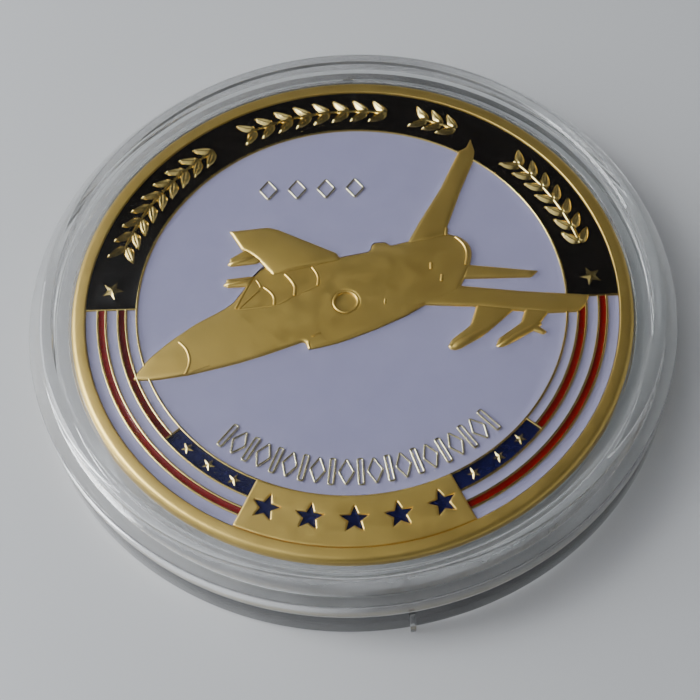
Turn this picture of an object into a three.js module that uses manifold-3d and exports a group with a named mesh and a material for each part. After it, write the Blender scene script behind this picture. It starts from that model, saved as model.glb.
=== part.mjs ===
// A struck and enamelled challenge coin in its clear two-part round capsule.
// Millimetres, +Z up. The origin is the centre of the capsule's foot, and the coin lies face up.
import * as THREE from "three";
import { mergeVertices } from "three/addons/utils/BufferGeometryUtils.js";
import Module from "manifold-3d";

const wasm = await Module();
wasm.setup();

// ---------- Driving dimensions ----------

// Capsule
const CAPSULE_R = 23; // outer radius of both halves
const CAPSULE_HEIGHT = 6; // foot to crown
const FOOT_CHAMFER = 0.4; // bevel round the foot
const FLOOR_TOP = 1.4; // inner face of the base's floor
const SEAM_Z = 3; // where the lid's skirt meets the base
const SEAM_GAP = 0.04; // between skirt and base
const WALL_RING_INNER_R = 20.15; // upright ring that holds the coin
const WALL_RING_OUTER_R = 21.1; // and that the lid's skirt slides over
const WALL_RING_TOP = 4.3;
const SKIRT_INNER_R = 21.15;
const WINDOW_UNDERSIDE = 4.62; // inner face of the lid's window
const SHOULDER_START_Z = 4.5; // where the lid's wall starts to curve in
const CROWN_R = 21.5; // outer edge of the lid's flat crown
const WINDOW_R = 20.9; // the window lies slightly below the crown
const WINDOW_DROP = 0.15;

// Coin
const COIN_R = 20;
const COIN_FOOT = 1.45; // the coin's back, just off the capsule's floor
const COIN_TOP = 4.45; // the rim's flat top
const RIM_INNER_R = 18.9;
const RIM_FLAT_R = 19.55; // where the rim starts to round over
const RIM_FOOT_R = 18.98; // the rim's inside wall leans out a little
const INTO_RIM = 0.05; // how far walls and the panel reach into the rim

// Struck face, as heights above the capsule's foot
const CELL_FLOOR = 4.0; // floor of the enamel cells
const ENAMEL_TOP = 4.24; // the enamel lies below the metal
const DIVIDER_TOP = 4.34; // thin walls between cells
const PANEL_TOP = 4.42;
const ORNAMENT_TOP = 4.42;
const AIRFRAME_TOP = 4.5;
const WING_TOP = 4.45;
const STORE_TOP = 4.4;
const ROOT = 0.2; // how far raised work reaches down into the coin
const GAP = 0.03; // between an enamel fill and the metal beside it
const BED = 0.02; // between an enamel fill and its cell's floor

// Ring band round the field
const FIELD_R = 15.3; // middle of the wall between field and band
const WALL = 0.13; // thickness of a dividing wall
const STRIPE_WALLS = [18.08, 17.5, 16.64, 16.06]; // middle radii, outside to inside
const BAND_END_Y = -0.2; // the dark band ends on this level
const PAST_BAND_END = 2; // degrees that an arc runs past that level before it is cut off
const PANEL_ANGLES = [-115, -65]; // bottom panel
const CANTON_ANGLES = [-65, -40]; // right-hand canton; the left one is its mirror image
const CANTON_STARS = [-60, -52.5, -45.5];
const CANTON_STAR_R = 0.36;
const PANEL_STARS = 5;
const PANEL_STAR_PITCH = 10.05; // degrees
const PANEL_STAR_R = 0.98;
const PANEL_STAR_ORBIT = 16.95;
const PANEL_STAR_FLOOR = 4.02;

// Sprigs on the dark band: angle at the root and at the tip
const SPRIGS = [
  [126.5, 166.5],
  [80, 119],
  [61.5, 73],
  [14.5, 46],
];
const SPRIG_ORBIT = 17.2;
const STEM_WIDTH = 0.24;
const LEAF_PITCH = 4.9; // degrees between pairs of leaves, at most
const LEAF_LENGTH = 1.72;
const LEAF_WIDTH = 0.74;
const LEAF_SPLAY = 38; // degrees from the stem
const BAND_STARS = [4.8, 175.2]; // one at each end of the dark band
const BAND_STAR_R = 0.78;

// Beads and reels raised in the white field
const BEADS_ORBIT = 13.5;
const BEADS_ANGLES = [-131, -45];
const BEADS_COUNT = 21;
const BEAD_HEIGHT = 1.9; // across the row
const BEAD_WIDTH = 1.0;
const REEL_WIDTH = 0.34;
const BEADS_TOP = 4.32;
const LOZENGE_ROW = { x: -2.8, y: 9.9, pitch: 2.15, count: 4, height: 1.7, width: 1.3 };

// Back of the coin
const BACK_FIELD_Z = 1.72; // the back's field lies this high
const BACK_RIM_INNER_R = 18.7;
const BACK_RING = [14.5, 14.9];
const BACK_STAR_R = 11.5;
const BACK_STAR_WAIST = 0.4; // inner radius over outer radius
const BACK_RELIEF_Z = 1.5; // lowest face of the raised work
const BACK_RIM_LEAN = 0.1;
const GARLAND = { orbit: 16.8, count: 24, splay: 24, length: 2.5, width: 1.0 };

const FACETS = 60; // round a full circle
const STEP = 360 / FACETS;
const FIVE_POINT_WAIST = 0.42;
const LEAF_PROFILE = [[0, 0.08], [0.35, 0.5], [0.72, 0.34], [1, 0]]; // along it, half width
const MITRE_LIMIT = 0.35; // least cosine that a grown corner is stretched by
const BEYOND = 1; // how far a cutter runs past what it cuts
const SLIVER = 0.02; // cubic mm; scraps of a fill smaller than this are dropped

// Outlines of the aircraft, anticlockwise from the lower left, on the coin's face
const FUSELAGE = [
  [-15.4, -6.05], [-13.8, -6.1], [-11.3, -5.75], [-8, -4.95], [-5.7, -4.2], [-3.3, -3.3],
  [-2.95, -4], [-1, -3.55], [1.6, -2.55], [3.9, -1.45], [5.2, -0.6], [7.5, 0.2],
  [8.1, 1.4], [8.6, 2.6], [8.8, 3.7], [8.65, 4.5], [8, 5.2], [7, 5.5], [4.1, 4.9],
  [2.95, 4.6], [2.6, 4.95], [1.6, 4.9], [1.45, 4.15], [-1, 3.7], [-4, 3.4], [-6.3, 3.2],
  [-7, 2.4], [-7.6, 1.3], [-8.4, 0.1], [-9.1, -0.45], [-11, -1.55], [-12.9, -3.05],
  [-14.2, -4.3],
];
const NOSE_Y = FUSELAGE[0][1];
const FAR_WING = [
  [-7.9, 4.6], [-7.1, 4.1], [-6.5, 3.45], [-5.6, 2.3], [-4, 2.8], [-0.6, 3.4],
  [-1, 4.1], [-5.3, 6.35], [-6, 6.55], [-8.85, 6.25],
];
const FIN = [
  [4.1, 4.6], [7, 5.2], [7.1, 6], [8.3, 9.4], [9.35, 12], [9.5, 12.9], [9.25, 14.1],
  [8.9, 13.3], [8.3, 12.95], [6.8, 9.6], [5.1, 6.6],
];
const TAILPLANE = [
  [8, 1.5], [12.9, 1.45], [13.45, 2], [8.2, 2.75],
];
const NEAR_WING = [
  [4, 0], [5, -0.6], [8.6, -0.85], [11.4, -1.3], [14, -1.6], [16, -1.55], [16.6, -0.95],
  [16.9, -0.15], [12, 0.35], [7.2, 1.05], [6.4, 1.25],
];
const STORES = {
  outboard_far: [
    [-8.75, 3.15], [-6.8, 3.35], [-6.4, 3.6], [-7.6, 4.6], [-8.75, 3.85],
  ],
  inboard_far: [
    [-8.95, 1.35], [-7.3, 1.4], [-6.9, 2.3], [-8.95, 2.1],
  ],
  tank: [
    [6.7, -4.1], [7, -4.35], [8.2, -3.9], [9.6, -2.95], [11.6, -1.1], [8.9, -0.7],
    [8.35, -2.4], [7, -3.5],
  ],
  missile: [
    [10, -4.2], [10.4, -4.05], [12.6, -2.95], [13.4, -3.35], [13.7, -3.1], [13.1, -2.6],
    [13.6, -1.9], [14, -1.4], [12.3, -1.1], [11.9, -2.3], [10.3, -3.5],
  ],
};
const DISC = { x: -0.35, y: -0.2, r: 0.86, depth: 0.14 }; // sunk roundel on the fuselage

// ---------- Shape helpers ----------

const radians = THREE.MathUtils.degToRad;

// A point at a radius and an angle in degrees.
function polar(r, angle) {
  return [r * Math.cos(radians(angle)), r * Math.sin(radians(angle))];
}

// Angles from a0 to a1 that fall on the shared facets, with both ends.
function facetAngles(a0, a1) {
  const angles = [a0];
  for (let a = Math.floor(a0 / STEP) * STEP + STEP; a < a1 - 1e-6; a += STEP) {
    if (a > a0 + 1e-6) angles.push(a);
  }
  return [...angles, a1];
}

function circle(r) {
  return facetAngles(0, 360 - STEP).map((a) => polar(r, a));
}

// The outline of a slice of a ring, anticlockwise.
function slice(r0, r1, a0, a1) {
  const angles = facetAngles(a0, a1);
  const outer = angles.map((a) => polar(r1, a));
  const inner = angles.map((a) => polar(r0, a)).reverse();
  return [...outer, ...inner];
}

function star(centre, r, heading, waist = FIVE_POINT_WAIST) {
  return Array.from({ length: 10 }, (_, i) => {
    const [x, y] = polar(i % 2 ? r * waist : r, heading + i * 36);
    return [centre[0] + x, centre[1] + y];
  });
}

// A pointed leaf that starts at a point and runs along a heading.
function leaf(start, heading, length, width) {
  const lower = LEAF_PROFILE.map(([u, v]) => [u * length, -v * width]);
  const upper = LEAF_PROFILE.slice(0, -1).reverse().map(([u, v]) => [u * length, v * width]);
  return turned([...lower, ...upper], heading, start);
}

function lozenge(centre, heading, height, width) {
  const corners = [[width / 2, 0], [0, height / 2], [-width / 2, 0], [0, -height / 2]];
  return turned(corners, heading, centre);
}

function bar(centre, heading, height, width) {
  return turned(box(-width / 2, width / 2, -height / 2, height / 2), heading, centre);
}

function box(x0, x1, y0, y1) {
  return [[x0, y0], [x1, y0], [x1, y1], [x0, y1]];
}

// Points turned by an angle in degrees and moved to a place.
function turned(points, angle, place) {
  const c = Math.cos(radians(angle));
  const s = Math.sin(radians(angle));
  return points.map(([x, y]) => [place[0] + c * x - s * y, place[1] + s * x + c * y]);
}

// The same outline mirrored in the Y axis, still anticlockwise.
function mirrored(points) {
  return points.map(([x, y]) => [-x, y]).reverse();
}

// An anticlockwise outline moved out by a distance, with sharp corners cut back.
function grown(points, distance) {
  const n = points.length;
  return points.map((p, i) => {
    const before = points[(i + n - 1) % n];
    const after = points[(i + 1) % n];
    const a = new THREE.Vector2(p[0] - before[0], p[1] - before[1]).normalize();
    const b = new THREE.Vector2(after[0] - p[0], after[1] - p[1]).normalize();
    const bisector = new THREE.Vector2(a.y + b.y, -a.x - b.x).normalize();
    const reach = distance / Math.max(MITRE_LIMIT, bisector.x * a.y - bisector.y * a.x);
    return [p[0] + bisector.x * reach, p[1] + bisector.y * reach];
  });
}

// ---------- Solids ----------

function solid(geometry) {
  const bare = geometry.index ? geometry.toNonIndexed() : geometry.clone();
  bare.deleteAttribute("normal");
  bare.deleteAttribute("uv");
  const merged = mergeVertices(bare, 1e-4);
  return new wasm.Manifold(
    new wasm.Mesh({
      numProp: 3,
      vertProperties: merged.attributes.position.array,
      triVerts: new Uint32Array(merged.index.array),
    }),
  );
}

// An outline raised from z0 to z1.
function plate(points, z0, z1) {
  const shape = new THREE.Shape(points.map(([x, y]) => new THREE.Vector2(x, y)));
  const options = { depth: z1 - z0, bevelEnabled: false };
  return solid(new THREE.ExtrudeGeometry(shape, options).translate(0, 0, z0));
}

// A closed profile of radius and height, turned about the Z axis.
function turning(profile) {
  const points = profile.map(([r, z]) => new THREE.Vector2(r, z));
  return solid(new THREE.LatheGeometry(points, FACETS).rotateX(Math.PI / 2));
}

function ring(r0, r1, z0, z1) {
  return turning([[r0, z0], [r1, z0], [r1, z1], [r0, z1], [r0, z0]]);
}

// An outline as a cutter for the whole depth of the struck face.
function cutter(points) {
  return plate(points, CELL_FLOOR - BEYOND, AIRFRAME_TOP + BEYOND);
}

function joined(solids) {
  return solids.reduce((whole, piece) => whole.add(piece));
}

function cut(whole, cutters) {
  return cutters.reduce((left, cutter) => left.subtract(cutter), whole);
}

function asMesh(name, body, material) {
  const made = body.getMesh();
  const geometry = new THREE.BufferGeometry();
  geometry.setAttribute("position", new THREE.BufferAttribute(made.vertProperties, 3));
  geometry.setIndex(new THREE.BufferAttribute(made.triVerts, 1));
  geometry.computeVertexNormals();
  const mesh = new THREE.Mesh(geometry, material);
  mesh.name = name;
  return mesh;
}

// ---------- Materials ----------

function enamel(color) {
  return new THREE.MeshStandardMaterial({ color, roughness: 0.15, metalness: 0 });
}

const GOLD = new THREE.MeshStandardMaterial({ color: 0xc2a25a, roughness: 0.3, metalness: 1 });
const WHITE = enamel(0xc9cae0);
const BLACK = enamel(0x0c0a09);
const RED = enamel(0x7a120f);
const BLUE = enamel(0x12122e);
const CLEAR = new THREE.MeshStandardMaterial({
  color: 0xf4f8fa,
  roughness: 0.05,
  metalness: 0,
  transparent: true,
  opacity: 0.3,
});

// ---------- Outlines on the coin's face ----------

const airframe = [
  [FUSELAGE, AIRFRAME_TOP],
  [FAR_WING, WING_TOP],
  [FIN, WING_TOP],
  [TAILPLANE, WING_TOP],
  [NEAR_WING, WING_TOP],
  ...Object.values(STORES).map((outline) => [outline, STORE_TOP]),
];

// The stem and leaves of one sprig on the dark band.
function sprig([root, tip]) {
  const pairs = Math.ceil((tip - root) / LEAF_PITCH);
  const pitch = (tip - root) / pairs;
  const half = STEM_WIDTH / 2;
  const outlines = [slice(SPRIG_ORBIT - half, SPRIG_ORBIT + half, root, tip - pitch / 2)];
  for (let i = 0; i < pairs; i += 1) {
    const angle = root + i * pitch;
    const start = polar(SPRIG_ORBIT, angle);
    for (const side of [-1, 1]) {
      outlines.push(leaf(start, angle + 90 + side * LEAF_SPLAY, LEAF_LENGTH, LEAF_WIDTH));
    }
  }
  return outlines;
}

const bandOrnaments = [
  ...SPRIGS.flatMap(sprig),
  ...BAND_STARS.map((a) => star(polar(SPRIG_ORBIT, a), BAND_STAR_R, a + 180)),
];

const cantonOrbit = (FIELD_R + STRIPE_WALLS[2]) / 2;
const cantonOrnaments = CANTON_STARS.flatMap((a) => {
  const right = star(polar(cantonOrbit, a), CANTON_STAR_R, a + 180);
  return [right, mirrored(right)];
});

const panelStars = Array.from({ length: PANEL_STARS }, (_, i) => {
  const angle = -90 + (i - (PANEL_STARS - 1) / 2) * PANEL_STAR_PITCH;
  return star(polar(PANEL_STAR_ORBIT, angle), PANEL_STAR_R, angle + 180);
});

// Angle on the right-hand side at which a circle crosses the band's end level.
function endAngle(r) {
  return THREE.MathUtils.radToDeg(Math.asin(BAND_END_Y / r));
}

// ---------- Coin ----------

function coinBlank() {
  const rimRound = COIN_R - RIM_FLAT_R;
  const profile = [[0, BACK_FIELD_Z], [BACK_RIM_INNER_R, BACK_FIELD_Z]];
  profile.push([BACK_RIM_INNER_R + BACK_RIM_LEAN, COIN_FOOT]);
  for (const a of [-90, -60, -30, 0]) {
    const [x, y] = polar(rimRound, a);
    profile.push([RIM_FLAT_R + x, COIN_FOOT + rimRound + y]);
  }
  for (const a of [0, 30, 60, 90]) {
    const [x, y] = polar(rimRound, a);
    profile.push([RIM_FLAT_R + x, COIN_TOP - rimRound + y]);
  }
  profile.push([RIM_FOOT_R, COIN_TOP], [RIM_INNER_R, CELL_FLOOR], [0, CELL_FLOOR]);
  return turning(profile);
}

// Thin walls that keep the colours apart.
function cellWalls() {
  const base = CELL_FLOOR - ROOT;
  const half = WALL / 2;
  const walls = [ring(FIELD_R - half, FIELD_R + half, base, DIVIDER_TOP)];
  const bandEnd = box(FIELD_R, RIM_INNER_R + INTO_RIM, BAND_END_Y - half, BAND_END_Y + half);
  const start = PANEL_ANGLES[1] - 1; // a degree into the panel
  const arcs = STRIPE_WALLS.map((r) => slice(r - half, r + half, start, endAngle(r)));
  const edge = CANTON_ANGLES[1];
  const turn = THREE.MathUtils.radToDeg(half / cantonOrbit);
  const cantonEdge = slice(FIELD_R, STRIPE_WALLS[2], edge - turn, edge + turn);
  for (const outline of [bandEnd, ...arcs, cantonEdge]) {
    walls.push(plate(outline, base, DIVIDER_TOP));
    walls.push(plate(mirrored(outline), base, DIVIDER_TOP));
  }
  return walls;
}

// The walls of the inner stripes stop where a canton takes their place.
function cantonPockets() {
  const inner = FIELD_R + WALL / 2;
  const outer = STRIPE_WALLS[2] - WALL / 2;
  const turn = THREE.MathUtils.radToDeg(WALL / 2 / cantonOrbit);
  const [a0, a1] = CANTON_ANGLES;
  const right = slice(inner, outer, a0 - 1, a1 - turn);
  return [right, mirrored(right)].map((o) => plate(o, CELL_FLOOR, DIVIDER_TOP + BEYOND));
}

function bottomPanel() {
  const sector = slice(FIELD_R, RIM_INNER_R + INTO_RIM, ...PANEL_ANGLES);
  const body = plate(sector, CELL_FLOOR - ROOT, PANEL_TOP);
  return cut(body, panelStars.map((s) => plate(s, PANEL_STAR_FLOOR, PANEL_TOP + BEYOND)));
}

function aircraft() {
  const parts = airframe.map(([outline, top]) => plate(outline, CELL_FLOOR - ROOT, top));
  const roundel = turned(circle(DISC.r), 0, [DISC.x, DISC.y]);
  return joined(parts).subtract(plate(roundel, AIRFRAME_TOP - DISC.depth, AIRFRAME_TOP + BEYOND));
}

// Raised work on the coin's back: a star, a ring and a garland of leaves.
function backRelief() {
  const top = BACK_FIELD_Z + ROOT;
  const { orbit, count, splay, length, width } = GARLAND;
  const leaves = Array.from({ length: count }, (_, i) => {
    const angle = (i * 360) / count;
    return leaf(polar(orbit, angle), angle + 90 + (i % 2 ? splay : -splay), length, width);
  });
  return [
    ring(...BACK_RING, BACK_RELIEF_Z, top),
    plate(star([0, 0], BACK_STAR_R, 90, BACK_STAR_WAIST), BACK_RELIEF_Z, top),
    ...leaves.map((outline) => plate(outline, BACK_RELIEF_Z, top)),
  ];
}

function coinBody() {
  const ornaments = [...bandOrnaments, ...cantonOrnaments].map((outline) =>
    plate(outline, CELL_FLOOR - ROOT, ORNAMENT_TOP),
  );
  const walled = cut(joined([coinBlank(), ...cellWalls()]), cantonPockets());
  return joined([walled, bottomPanel(), aircraft(), ...ornaments, ...backRelief()]);
}

// ---------- Enamel ----------

// Room round what stands up through an enamel fill.
function room(outlines) {
  return outlines.map((outline) => cutter(grown(outline, GAP)));
}

const airframeRoom = room(airframe.map(([outline]) => outline));

// One fill of enamel over an outline, cut round what stands in it.
function fill(outline, cutters = []) {
  return cut(plate(outline, CELL_FLOOR + BED, ENAMEL_TOP), [...airframeRoom, ...cutters]);
}

// Each closed cell is one fill, so a fill that the aircraft crosses becomes several.
function fillMeshes(name, body, material, sideNames) {
  const pieces = body.decompose().filter((piece) => piece.volume() > SLIVER);
  if (pieces.length === 1) return [asMesh(name, pieces[0], material)];
  return pieces.map((piece, i) => asMesh(name + "_" + sideNames(piece, i), piece, material));
}

function centreOf(piece) {
  const { min, max } = piece.boundingBox();
  return [(min[0] + max[0]) / 2, (min[1] + max[1]) / 2];
}

function whiteField() {
  const beads = Array.from({ length: BEADS_COUNT }, (_, i) => {
    const [a0, a1] = BEADS_ANGLES;
    const angle = a0 + ((i + 0.5) * (a1 - a0)) / BEADS_COUNT;
    const place = polar(BEADS_ORBIT, angle);
    if (i % 2) return lozenge(place, angle - 90, BEAD_HEIGHT, BEAD_WIDTH);
    return bar(place, angle - 90, BEAD_HEIGHT, REEL_WIDTH);
  });
  const { x, y, pitch, count, height, width } = LOZENGE_ROW;
  const lozenges = Array.from({ length: count }, (_, i) => {
    return lozenge([x + (i - (count - 1) / 2) * pitch, y], 0, height, width);
  });
  const raised = [...beads, ...lozenges].map((o) => plate(o, CELL_FLOOR + BED, BEADS_TOP));
  const whole = joined([fill(circle(FIELD_R - WALL / 2 - GAP)), ...raised]);
  return fillMeshes("white_enamel", cut(whole, airframeRoom), WHITE, (piece) => {
    const [cx, cy] = centreOf(piece);
    if (cy < 0) return "lower_field";
    return cx > FIN[0][0] ? "tail_field" : "upper_field";
  });
}

function blackBand() {
  const inner = FIELD_R + WALL / 2 + GAP;
  const outer = RIM_INNER_R - GAP;
  const level = BAND_END_Y + WALL / 2 + GAP;
  const below = cutter(box(-COIN_R, COIN_R, level - COIN_R, level));
  const sector = slice(inner, outer, -PAST_BAND_END, 180 + PAST_BAND_END);
  const body = fill(sector, [below, ...room(bandOrnaments)]);
  return fillMeshes("black_enamel_band", body, BLACK, (_, i) => i + 1);
}

// The five stripes of one side, outside to inside, and the canton.
function stripes(side) {
  const radii = [RIM_INNER_R + WALL / 2, ...STRIPE_WALLS, FIELD_R];
  const names = ["white_outer", "red_outer", "white_middle", "red_inner", "white_inner"];
  const margin = WALL / 2 + GAP;
  const place = side === "left" ? mirrored : (outline) => outline;
  const level = BAND_END_Y - margin;
  const above = cutter(box(-COIN_R, COIN_R, level, level + COIN_R));
  return names.flatMap((name, i) => {
    const besidePanel = i < names.indexOf("red_inner");
    const start = besidePanel ? PANEL_ANGLES[1] : CANTON_ANGLES[1];
    const clear = start + THREE.MathUtils.radToDeg((besidePanel ? GAP : margin) / radii[i + 1]);
    const outline = slice(radii[i + 1] + margin, radii[i] - margin, clear, PAST_BAND_END);
    const body = fill(place(outline), [above]);
    const material = name.startsWith("red") ? RED : WHITE;
    return fillMeshes("stripe_" + name + "_" + side, body, material, (piece) => {
      return centreOf(piece)[1] > NOSE_Y ? "near_band" : "near_canton";
    });
  });
}

function canton(side) {
  const margin = WALL / 2 + GAP;
  const place = side === "left" ? mirrored : (outline) => outline;
  const [a0, a1] = CANTON_ANGLES;
  const degrees = (width) => THREE.MathUtils.radToDeg(width / FIELD_R);
  const start = a0 + degrees(GAP);
  const end = a1 - degrees(margin);
  const outline = slice(FIELD_R + margin, STRIPE_WALLS[2] - margin, start, end);
  return asMesh("canton_blue_" + side, fill(place(outline), room(cantonOrnaments)), BLUE);
}

function starFill(outline, i) {
  const body = plate(grown(outline, -GAP), PANEL_STAR_FLOOR + BED, ENAMEL_TOP);
  return asMesh("star_enamel_" + (i + 1), body, BLUE);
}

// ---------- Capsule ----------

function capsuleBase() {
  return turning([
    [0, 0],
    [CAPSULE_R - FOOT_CHAMFER, 0],
    [CAPSULE_R, FOOT_CHAMFER],
    [CAPSULE_R, SEAM_Z],
    [WALL_RING_OUTER_R, SEAM_Z],
    [WALL_RING_OUTER_R, WALL_RING_TOP],
    [WALL_RING_INNER_R, WALL_RING_TOP],
    [WALL_RING_INNER_R, FLOOR_TOP],
    [0, FLOOR_TOP],
  ]);
}

function capsuleLid() {
  const profile = [
    [0, WINDOW_UNDERSIDE],
    [SKIRT_INNER_R, WINDOW_UNDERSIDE],
    [SKIRT_INNER_R, SEAM_Z + SEAM_GAP],
    [CAPSULE_R, SEAM_Z + SEAM_GAP],
  ];
  for (const a of [0, 22.5, 45, 67.5, 90]) {
    const x = (CAPSULE_R - CROWN_R) * Math.cos(radians(a));
    const z = (CAPSULE_HEIGHT - SHOULDER_START_Z) * Math.sin(radians(a));
    profile.push([CROWN_R + x, SHOULDER_START_Z + z]);
  }
  const windowTop = CAPSULE_HEIGHT - WINDOW_DROP;
  profile.push([WINDOW_R + WINDOW_DROP, CAPSULE_HEIGHT], [WINDOW_R, windowTop], [0, windowTop]);
  return turning(profile);
}

// ---------- Assembly ----------

const coin = new THREE.Group();
coin.add(
  asMesh("coin_body", coinBody(), GOLD),
  ...whiteField(),
  ...blackBand(),
  ...["right", "left"].flatMap((side) => [...stripes(side), canton(side)]),
  ...panelStars.map(starFill),
);

const capsule = new THREE.Group();
capsule.add(
  asMesh("capsule_base", capsuleBase(), CLEAR),
  asMesh("capsule_lid", capsuleLid(), CLEAR.clone()),
);

const assembly = new THREE.Group();
assembly.add(capsule, coin);

export default assembly;
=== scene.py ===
"""A struck and enamelled challenge coin in its clear capsule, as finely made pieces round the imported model.

Lengths are millimetres in the row frame: +Z up, with the origin at the centre of the capsule's foot. Only the
camera's clip, the floor, the lights and the scales of the materials' noise are in metres. Angles are degrees,
anticlockwise from +X.
"""

import math

import bpy
import numpy as np
from mathutils import Matrix, Quaternion, Vector
from mathutils.geometry import delaunay_2d_cdt

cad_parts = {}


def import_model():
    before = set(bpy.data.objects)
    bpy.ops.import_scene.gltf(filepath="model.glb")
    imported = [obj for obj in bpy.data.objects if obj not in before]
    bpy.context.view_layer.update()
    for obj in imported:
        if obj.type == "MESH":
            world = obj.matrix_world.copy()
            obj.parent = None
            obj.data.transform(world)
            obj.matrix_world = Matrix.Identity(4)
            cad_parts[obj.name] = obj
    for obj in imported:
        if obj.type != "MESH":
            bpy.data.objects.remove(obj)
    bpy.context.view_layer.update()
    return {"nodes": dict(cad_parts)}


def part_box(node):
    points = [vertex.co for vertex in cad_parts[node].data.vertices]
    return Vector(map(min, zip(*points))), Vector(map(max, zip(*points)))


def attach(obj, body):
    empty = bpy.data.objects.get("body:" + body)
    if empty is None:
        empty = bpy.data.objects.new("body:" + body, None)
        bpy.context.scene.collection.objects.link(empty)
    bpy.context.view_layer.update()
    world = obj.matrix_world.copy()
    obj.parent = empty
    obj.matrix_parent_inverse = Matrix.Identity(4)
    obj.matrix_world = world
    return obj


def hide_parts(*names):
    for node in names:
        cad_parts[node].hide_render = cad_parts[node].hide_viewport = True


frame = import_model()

MM = 0.001
TURN_STEPS = 240  # round a full circle
EDGE_STEP = 0.22  # along an outline
GRID_STEP = 0.7  # inside an outline
GRID_ROWS = 0.866  # between the rows of a triangular grid, as a share of its step
FILLET_STEPS = 6
CAP_STEPS = 6  # round a wall's rounded top
LEAF_ROWS = 12


# ---------- Levels and radii, from the frame ----------

def low(node, axis):
    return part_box(node)[0][axis] / MM


def high(node, axis):
    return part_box(node)[1][axis] / MM


COIN_R = high("coin_body", 0)
COIN_FOOT = low("coin_body", 2)
AIRCRAFT_RISE = 0.05  # how far the aircraft stands above the rim's flat
COIN_TOP = high("coin_body", 2) - AIRCRAFT_RISE
ENAMEL_TOP = high("white_enamel_tail_field", 2)
CELL_FLOOR = low("white_enamel_tail_field", 2) - 0.02
CAPSULE_R = high("capsule_base", 0)
CAPSULE_TOP = high("capsule_lid", 2)
SEAM_Z = low("capsule_lid", 2)
RING_TOP = high("capsule_base", 2)

WALL_TOP = COIN_TOP - 0.06
PANEL_TOP = COIN_TOP - 0.03
ORNAMENT_TOP = COIN_TOP - 0.03
AIRFRAME_TOP = COIN_TOP + AIRCRAFT_RISE
RELIEF_FLOOR = CELL_FLOOR - 0.1
BACK_DEPTH = 0.27  # how far the back's field lies inside its border

# ---------- Layout of the face, from the photo ----------

RIM_INNER_R = 18.9
FIELD_R = 15.3
WALL = 0.17  # the width of a cell wall
STRIPE_WALLS = [18.08, 17.5, 16.64, 16.06]
BAND_END_Y = -0.2
BAND_OVERLAP = 1.5  # degrees that the band's outline runs past its straight end, to be cut off there
PANEL_ANGLES = (-115, -65)
CANTON_EDGE = -40
CANTON_ORBIT = (FIELD_R + STRIPE_WALLS[2]) / 2
CANTON_STARS = [-60, -52.5, -45.5]
CANTON_STAR_R = 0.46
PANEL_STAR_R = 0.98
PANEL_STAR_ORBIT = 16.95
PANEL_STAR_PITCH = 10.05
SPRIGS = [(126.5, 166.5), (80, 119), (61.5, 73), (14.5, 46)]
SPRIG_ORBIT = 17.2
LEAF_PITCH = 4.9
LEAF_LENGTH = 1.72
LEAF_WIDTH = 0.88
LEAF_SPLAY = 38
BAND_STARS = [4.8, 175.2]
BAND_STAR_R = 0.8
BEADS_ORBIT = 13.5
BEADS_ANGLES = (-131, -45)
BEADS_COUNT = 21
BEAD_HEIGHT = 1.9
BEAD_WIDTH = 1.0
REEL_WIDTH = 0.34

# ---------- Outlines of the aircraft, anticlockwise ----------

FUSELAGE = [
    (-15.4, -6.05), (-13.8, -6.1), (-11.3, -5.75), (-8, -4.95), (-5.7, -4.2), (-3.3, -3.3),
    (-2.95, -4), (-1, -3.55), (1.6, -2.55), (3.9, -1.45), (5.2, -0.6), (7.5, 0.2),
    (8.1, 1.4), (8.6, 2.6), (8.8, 3.7), (8.65, 4.5), (8, 5.2), (7, 5.5), (4.1, 4.9),
    (2.95, 4.6), (2.6, 4.95), (1.6, 4.9), (1.45, 4.15), (-1, 3.7), (-4, 3.4), (-6.3, 3.2),
    (-7, 2.4), (-7.6, 1.3), (-8.4, 0.1), (-9.1, -0.45), (-11, -1.55), (-12.9, -3.05),
    (-14.2, -4.3),
]
FAR_WING = [
    (-7.9, 4.6), (-7.1, 4.1), (-6.5, 3.45), (-5.6, 2.3), (-4, 2.8), (-0.6, 3.4),
    (-1, 4.1), (-5.3, 6.35), (-6, 6.55), (-8.85, 6.25),
]
FIN = [
    (4.1, 4.6), (7, 5.2), (7.1, 6), (8.3, 9.4), (9.35, 12), (9.5, 12.9), (9.25, 14.1),
    (8.9, 13.3), (8.3, 12.95), (6.8, 9.6), (5.1, 6.6),
]
TAILPLANE = [(8, 1.5), (12.9, 1.45), (13.45, 2), (8.2, 2.75)]
NEAR_WING = [
    (4, 0), (5, -0.6), (8.6, -0.85), (11.4, -1.3), (14, -1.6), (16, -1.55), (16.6, -0.95),
    (16.9, -0.15), (12, 0.35), (7.2, 1.05), (6.4, 1.25),
]
STORES = [
    [(-8.75, 3.15), (-6.8, 3.35), (-6.4, 3.6), (-7.6, 4.6), (-8.75, 3.85)],
    [(-8.95, 1.35), (-7.3, 1.4), (-6.9, 2.3), (-8.95, 2.1)],
    [(6.7, -4.1), (7, -4.35), (8.2, -3.9), (9.6, -2.95), (11.6, -1.1), (8.9, -0.7),
     (8.35, -2.4), (7, -3.5)],
    [(10, -4.2), (10.4, -4.05), (12.6, -2.95), (13.4, -3.35), (13.7, -3.1), (13.1, -2.6),
     (13.6, -1.9), (14, -1.4), (12.3, -1.1), (11.9, -2.3), (10.3, -3.5)],
]
ROUNDEL = (-0.35, -0.2, 0.84)  # centre and radius
BELLY = [
    (-2.95, -4), (-1, -3.55), (1.6, -2.55), (3.9, -1.45), (5.2, -0.6), (3, -0.5), (0.9, -1.15),
    (-1.2, -1.95), (-2.5, -2.75),
]
WINGS = [  # outline, root and tip
    (FAR_WING, (-2.5, 3.2), (-7.3, 5.4)), (FIN, (5.6, 5), (9.1, 13)),
    (TAILPLANE, (8, 2.1), (13.2, 1.7)), (NEAR_WING, (5, 0.3), (16.5, -0.7)),
]
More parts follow.
